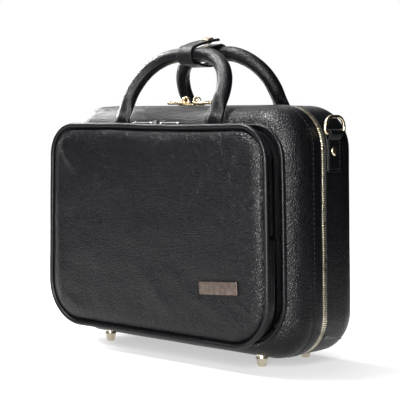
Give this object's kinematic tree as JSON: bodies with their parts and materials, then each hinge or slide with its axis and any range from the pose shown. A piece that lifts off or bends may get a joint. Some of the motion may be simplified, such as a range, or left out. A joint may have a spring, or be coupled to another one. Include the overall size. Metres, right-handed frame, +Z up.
{
  "type": "zipped instrument case",
  "caption": "Moulded leather-covered oboe case with a zip closing, a folding front pocket, two rolled handles in a snap strap, strap rings and feet.",
  "frame": {"origin": "middle of the case's width and of its depth over pocket and handles, on the surface the feet stand on", "axes": "+X to the right as the pocket is faced, +Y towards the back, +Z up"},
  "size_m": [0.2946, 0.1254, 0.288],
  "materials": {
    "shell_leather": "black pebble-grain imitation leather over a moulded shell, semi-gloss",
    "pocket_leather": "soft black pebble-grain imitation leather, semi-gloss",
    "trim_leather": "smooth black leather binding",
    "handle_leather": "rolled and stitched black leather",
    "strap_leather": "black leather strap with stitched edges",
    "zip_tape": "woven black tape",
    "zip_teeth": "light gold plated teeth",
    "pocket_zip": "black zip chain on black tape",
    "plush": "black plush over foam",
    "feet_metal": "light gold plated",
    "slider_metal": "light gold plated",
    "pocket_slider_metal": "pale gold to silver plated",
    "ring_metal": "light gold plated",
    "snap_metal": "light gold plated",
    "plate_metal": "polished rose gold, bare"
  },
  "bodies": {
    "case": {"rear_shell": "shell_leather", "instrument_tray": "plush", "rear_zip_tape": "zip_tape", "rear_zip_teeth": "zip_teeth", "hinge_bead": "trim_leather", "rear_hinge_leaf": "trim_leather", "rear_feet": "feet_metal", "rear_handle_tabs": "trim_leather", "dring_tab_left": "trim_leather", "dring_tab_right": "trim_leather", "dring_rivet_left": "ring_metal", "dring_rivet_right": "ring_metal"},
    "lid": {"front_shell": "shell_leather", "front_band": "shell_leather", "lid_pad": "plush", "front_zip_tape": "zip_tape", "front_zip_teeth": "zip_teeth", "front_hinge_leaf": "trim_leather", "front_feet": "feet_metal", "front_handle_tabs": "trim_leather", "pocket_gusset": "pocket_leather", "pocket_welt": "trim_leather", "pocket_panel": "pocket_leather", "pocket_piping": "trim_leather", "pocket_zip_rear": "pocket_zip", "pocket_zip_ends": "trim_leather", "pocket_plate": "plate_metal"},
    "pocket_top": {"pocket_flap": "pocket_leather", "pocket_flap_gusset": "pocket_leather", "pocket_flap_piping": "trim_leather", "pocket_zip_front": "pocket_zip"},
    "front_handle": {"front_handle": "handle_leather", "wrap_front": "strap_leather"},
    "strap_flap": {"wrap_flap": "strap_leather", "snap_cap": "snap_metal", "snap_socket": "snap_metal"},
    "rear_handle": {"rear_handle": "handle_leather", "wrap_rear": "strap_leather", "snap_stud": "snap_metal"},
    "main_slider_left": {"main_slider_left": "slider_metal"},
    "main_pull_left": {"main_pull_left": "slider_metal"},
    "main_slider_right": {"main_slider_right": "slider_metal"},
    "main_pull_right": {"main_pull_right": "slider_metal"},
    "pocket_slider_left": {"pocket_slider_left": "pocket_slider_metal"},
    "pocket_pull_left": {"pocket_pull_left": "pocket_slider_metal"},
    "pocket_slider_right": {"pocket_slider_right": "pocket_slider_metal"},
    "pocket_pull_right": {"pocket_pull_right": "pocket_slider_metal"},
    "ring_left": {"dring_left": "ring_metal"},
    "ring_right": {"dring_right": "ring_metal"}
  },
  "joints": [
    {"name": "lid_hinge", "type": "hinge", "parent": "case", "child": "lid", "pos_m": [0, 0.00865, 0.008], "axis": [1, 0, 0], "range_deg": [0, 120]},
    {"name": "pocket_fold", "type": "hinge", "parent": "lid", "child": "pocket_top", "pos_m": [0, -0.06135, 0.116], "axis": [1, 0, 0], "range_deg": [0, 55]},
    {"name": "front_handle_swing", "type": "hinge", "parent": "lid", "child": "front_handle", "pos_m": [0, -0.03629, 0.2154], "axis": [1, 0, 0], "range_deg": [0, 95]},
    {"name": "rear_handle_swing", "type": "hinge", "parent": "case", "child": "rear_handle", "pos_m": [0, 0.05666, 0.22172], "axis": [-1, 0, 0], "range_deg": [0, 95]},
    {"name": "strap_flap_lift", "type": "hinge", "parent": "front_handle", "child": "strap_flap", "pos_m": [0, -0.00874, 0.2798], "axis": [1, 0, 0], "range_deg": [0, 140]},
    {"name": "main_slider_left_slide", "type": "slide", "parent": "case", "child": "main_slider_left", "axis": [-1, 0, 0], "range_m": [0, 0.076]},
    {"name": "main_slider_right_slide", "type": "slide", "parent": "case", "child": "main_slider_right", "axis": [1, 0, 0], "range_m": [0, 0.102]},
    {"name": "main_pull_left_tip", "type": "hinge", "parent": "main_slider_left", "child": "main_pull_left", "pos_m": [-0.02, 0.00865, 0.2284], "axis": [0, 1, 0], "range_deg": [0, 110]},
    {"name": "main_pull_right_tip", "type": "hinge", "parent": "main_slider_right", "child": "main_pull_right", "pos_m": [-0.006, 0.00865, 0.2284], "axis": [0, -1, 0], "range_deg": [0, 110]},
    {"name": "pocket_slider_left_slide", "type": "slide", "parent": "lid", "child": "pocket_slider_left", "axis": [-1, 0, 0], "range_m": [0, 0.095]},
    {"name": "pocket_slider_right_slide", "type": "slide", "parent": "lid", "child": "pocket_slider_right", "axis": [1, 0, 0], "range_m": [0, 0.09]},
    {"name": "pocket_pull_left_tip", "type": "hinge", "parent": "pocket_slider_left", "child": "pocket_pull_left", "pos_m": [-0.003, -0.04925, 0.2097], "axis": [0, 1, 0], "range_deg": [0, 90]},
    {"name": "pocket_pull_right_tip", "type": "hinge", "parent": "pocket_slider_right", "child": "pocket_pull_right", "pos_m": [0.008, -0.04925, 0.2097], "axis": [0, -1, 0], "range_deg": [0, 90]},
    {"name": "ring_left_swing", "type": "hinge", "parent": "case", "child": "ring_left", "pos_m": [-0.14328, 0.02165, 0.2015], "axis": [0, -1, 0], "range_deg": [0, 150]},
    {"name": "ring_right_swing", "type": "hinge", "parent": "case", "child": "ring_right", "pos_m": [0.14328, 0.02165, 0.2015], "axis": [0, 1, 0], "range_deg": [0, 150]}
  ]
}
